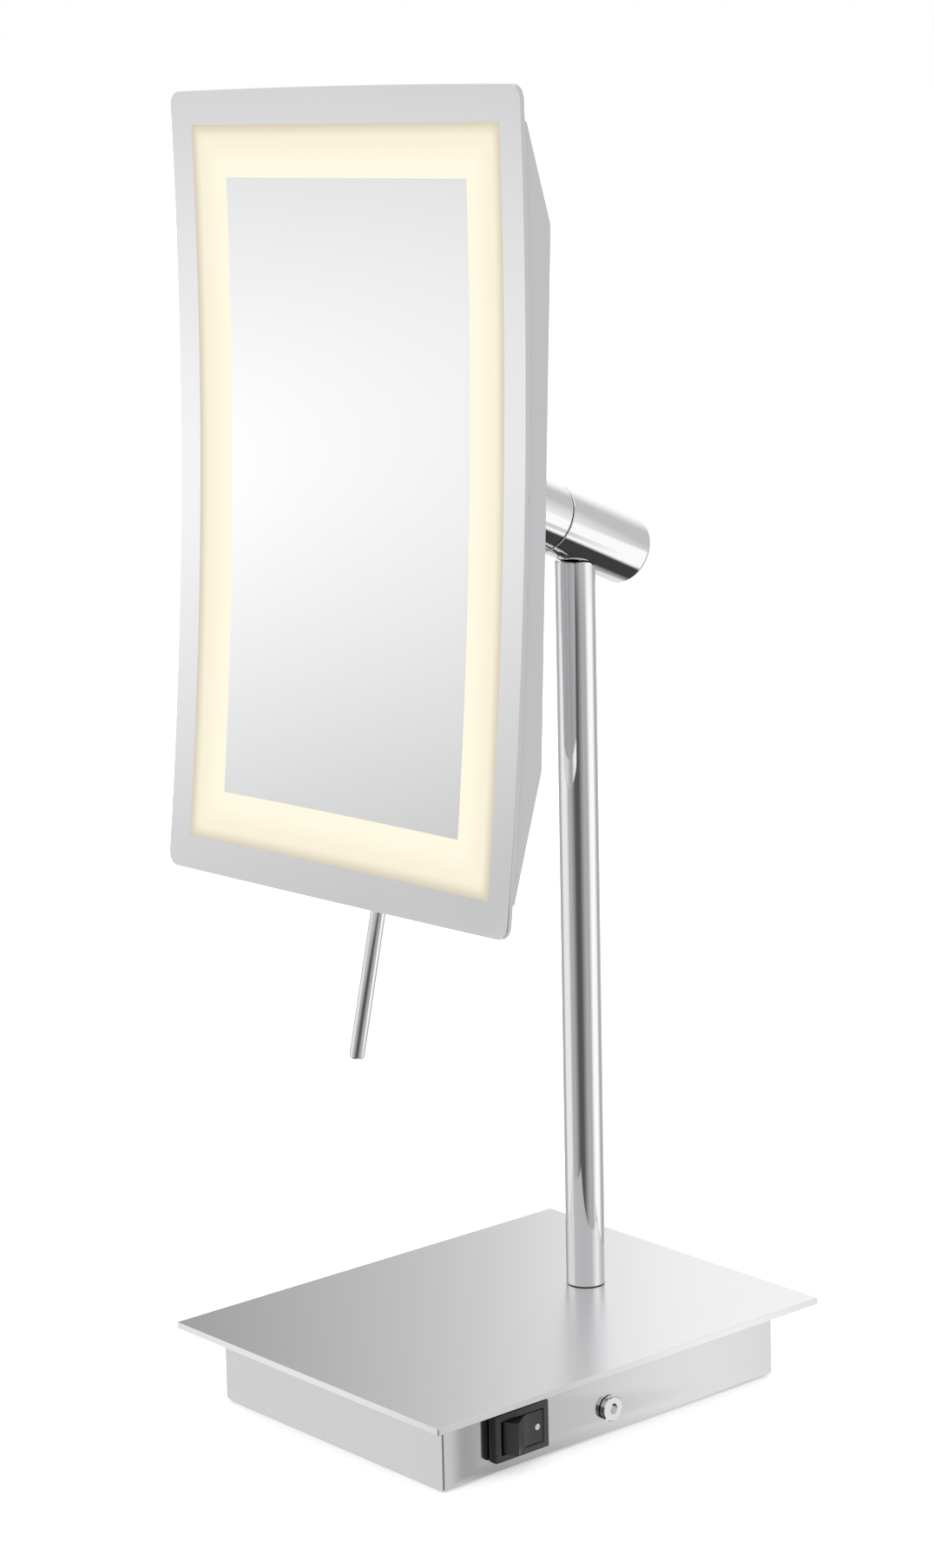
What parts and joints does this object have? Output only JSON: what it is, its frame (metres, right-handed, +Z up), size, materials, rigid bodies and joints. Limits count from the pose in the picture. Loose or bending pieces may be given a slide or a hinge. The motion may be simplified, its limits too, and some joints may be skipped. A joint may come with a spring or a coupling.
{
  "type": "countertop mirror",
  "caption": "Free-standing countertop mirror with a lit frame, a lever below the glass, a ball-jointed barrel on a chrome pole and a box base with a rocker switch.",
  "frame": {"origin": "on the resting plane under the middle of the base", "axes": "+X is the user's right, where the switch is; +Y is the rear; +Z is up"},
  "size_m": [0.1547, 0.152, 0.3902],
  "materials": {
    "plate_satin": "brushed chrome plate",
    "base_chrome": "satin chrome",
    "polished_chrome": "polished",
    "screw_chrome": "polished",
    "plain_steel": "plain",
    "ballast_iron": "plain",
    "brass": "plain",
    "copper_wire": "white insulation",
    "switch_black": "semi-gloss",
    "inlet_black": "matte",
    "rubber_black": "matte",
    "foam_black": "closed-cell foam",
    "nylon": "matte",
    "white_plastic": "matte",
    "board_green": "solder mask",
    "ferrite": "ferrite",
    "can_aluminium": "satin",
    "housing_silver": "satin silver",
    "tray_white": "matt white",
    "opal": "opal diffuser",
    "led_strip": "white board with lamps",
    "mirror": "silvered, with a lit frame"
  },
  "bodies": {
    "base": {"ballast_block": "ballast_iron", "barrel_body": "polished_chrome", "barrel_stud": "plain_steel", "base_box": "base_chrome", "base_top_plate": "plate_satin", "bottom_cover": "plain_steel", "cover_screw_1": "plain_steel", "cover_screw_2": "plain_steel", "cover_screw_3": "plain_steel", "cover_screw_4": "plain_steel", "driver_board": "board_green", "driver_capacitor": "can_aluminium", "driver_inductor": "ferrite", "inlet_nut": "plain_steel", "inlet_pin": "brass", "inlet_socket": "inlet_black", "joining_ring": "plain_steel", "lead_base": "copper_wire", "lead_column": "copper_wire", "lead_connector": "white_plastic", "pole": "polished_chrome", "pole_foot_plug": "plain_steel", "pole_nut": "plain_steel", "pole_top_plug": "plain_steel", "pole_washer": "plain_steel", "rubber_foot_1": "rubber_black", "rubber_foot_2": "rubber_black", "rubber_foot_3": "rubber_black", "rubber_foot_4": "rubber_black", "side_screw_left": "screw_chrome", "side_screw_right": "screw_chrome", "switch_bezel": "switch_black", "switch_pin": "plain_steel", "switch_terminal_1": "brass", "switch_terminal_2": "brass"},
    "front_collar": {"front_collar": "polished_chrome", "pressure_cup": "nylon", "disc_spring_1": "plain_steel", "disc_spring_2": "plain_steel"},
    "ball_liner": {"ball_liner": "nylon"},
    "head": {"ball_stud": "plain_steel", "joint_hub": "polished_chrome", "hub_screw_1": "screw_chrome", "hub_screw_2": "screw_chrome", "hub_screw_3": "screw_chrome", "lever_rod": "polished_chrome", "lever_nut": "polished_chrome", "mirror_glass": "mirror", "rear_housing": "housing_silver", "backing_plate": "plain_steel", "reflector_tray": "tray_white", "led_strip_left": "led_strip", "led_strip_right": "led_strip", "led_strip_top": "led_strip", "led_strip_bottom": "led_strip", "diffuser_frame": "opal", "bond_pad": "foam_black", "lead_head": "copper_wire"},
    "rocker": {"switch_rocker": "switch_black"}
  },
  "joints": [
    {"name": "collar_roll", "type": "hinge", "parent": "base", "child": "front_collar", "pos_m": [0, 0.026, 0.2626], "axis": [0, -0.9205, 0.3907], "range_deg": [-30, 30]},
    {"name": "ball_pan", "type": "hinge", "parent": "front_collar", "child": "ball_liner", "pos_m": [0, 0.00262, 0.27253], "axis": [0, 0, 1], "range_deg": [-25, 25]},
    {"name": "head_tilt", "type": "hinge", "parent": "ball_liner", "child": "head", "pos_m": [0, 0.00262, 0.27253], "axis": [1, 0, 0], "range_deg": [-40, 18]},
    {"name": "switch_press", "type": "hinge", "parent": "base", "child": "rocker", "pos_m": [0.05105, -0.03895, 0.0121], "axis": [0, 0, -1], "range_deg": [0, 34]}
  ]
}
